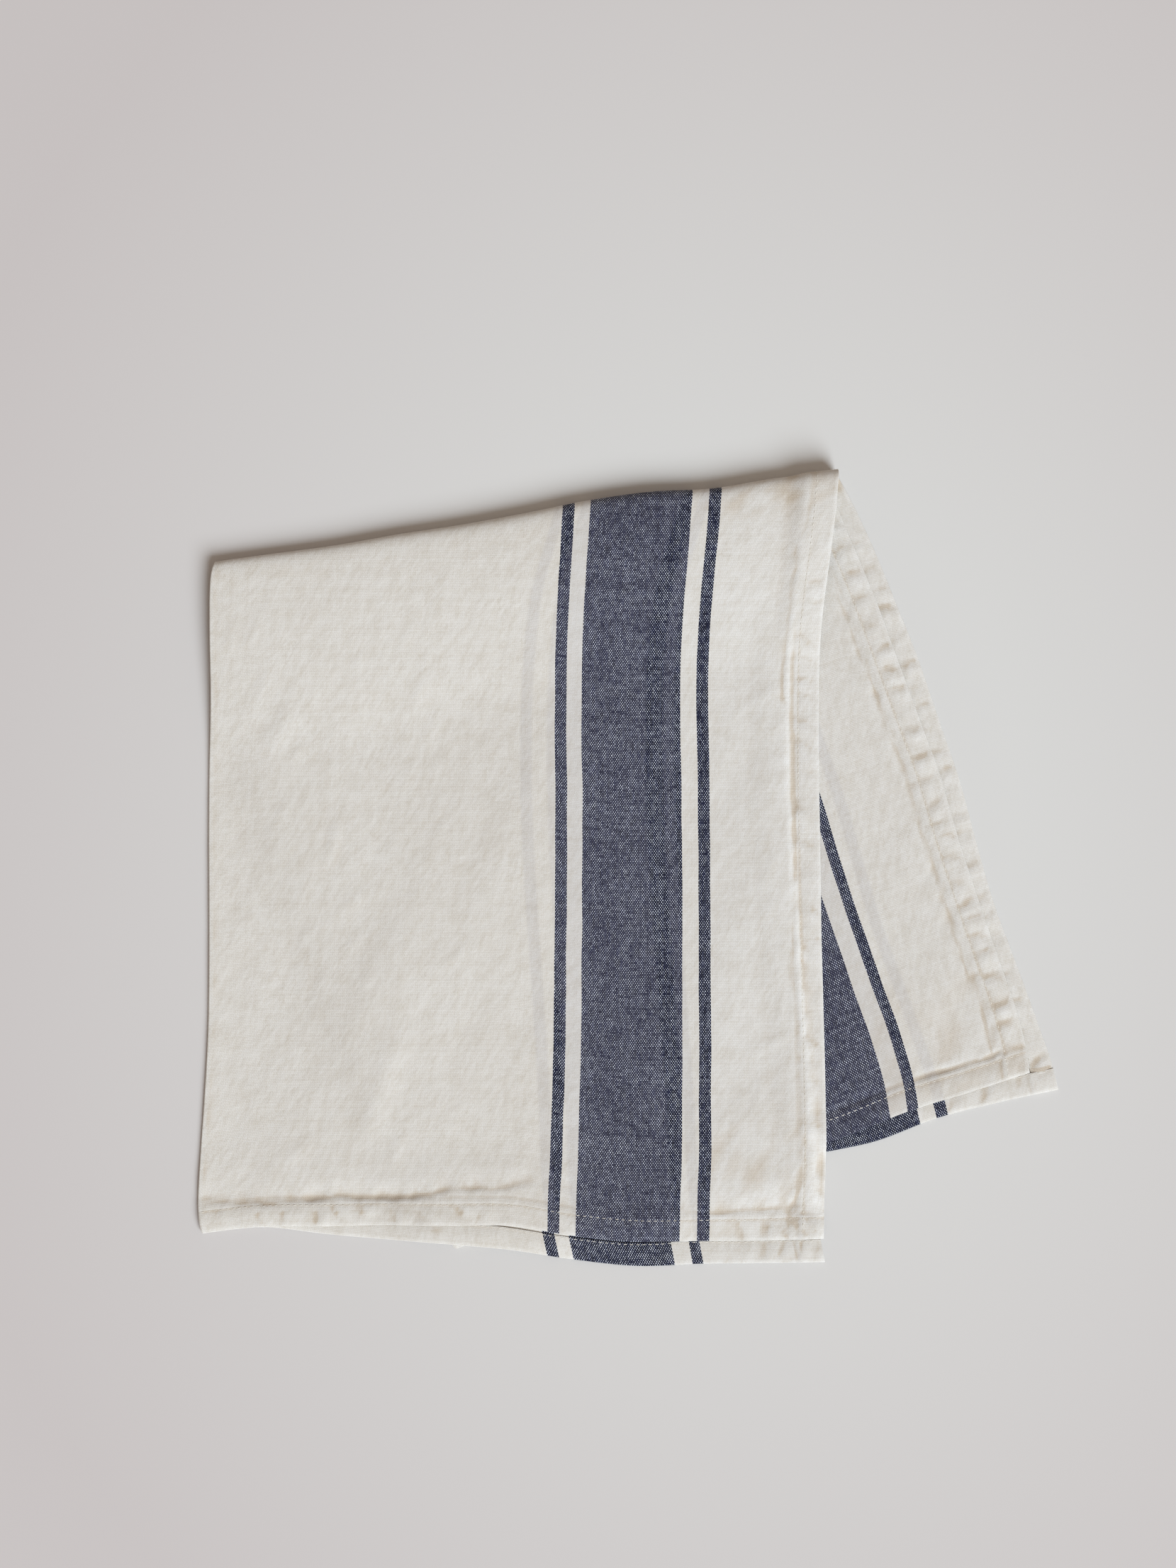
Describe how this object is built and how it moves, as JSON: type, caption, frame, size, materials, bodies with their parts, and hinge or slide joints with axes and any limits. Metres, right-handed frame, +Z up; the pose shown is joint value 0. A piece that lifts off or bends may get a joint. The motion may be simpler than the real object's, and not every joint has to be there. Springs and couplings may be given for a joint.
{
  "type": "tea towel",
  "caption": "Linen tea towel with a stripe group near each long side and narrow stitched hems, folded in half lengthwise and again over a slanted top fold, lying flat.",
  "frame": {"origin": "centre of the bounding box on the surface the towel lies on", "axes": "+Z up, out of the surface; +X to the right and +Y away from the viewer, as the towel is seen from above with its folded edge at the top"},
  "size_m": [0.4184, 0.387, 0.0147],
  "materials": {
    "cloth": "warm off-white plain-weave linen with a navy thin, wide, thin stripe group near each long side, matte"
  },
  "bodies": {
    "root": {"towel": "cloth"}
  },
  "joints": []
}
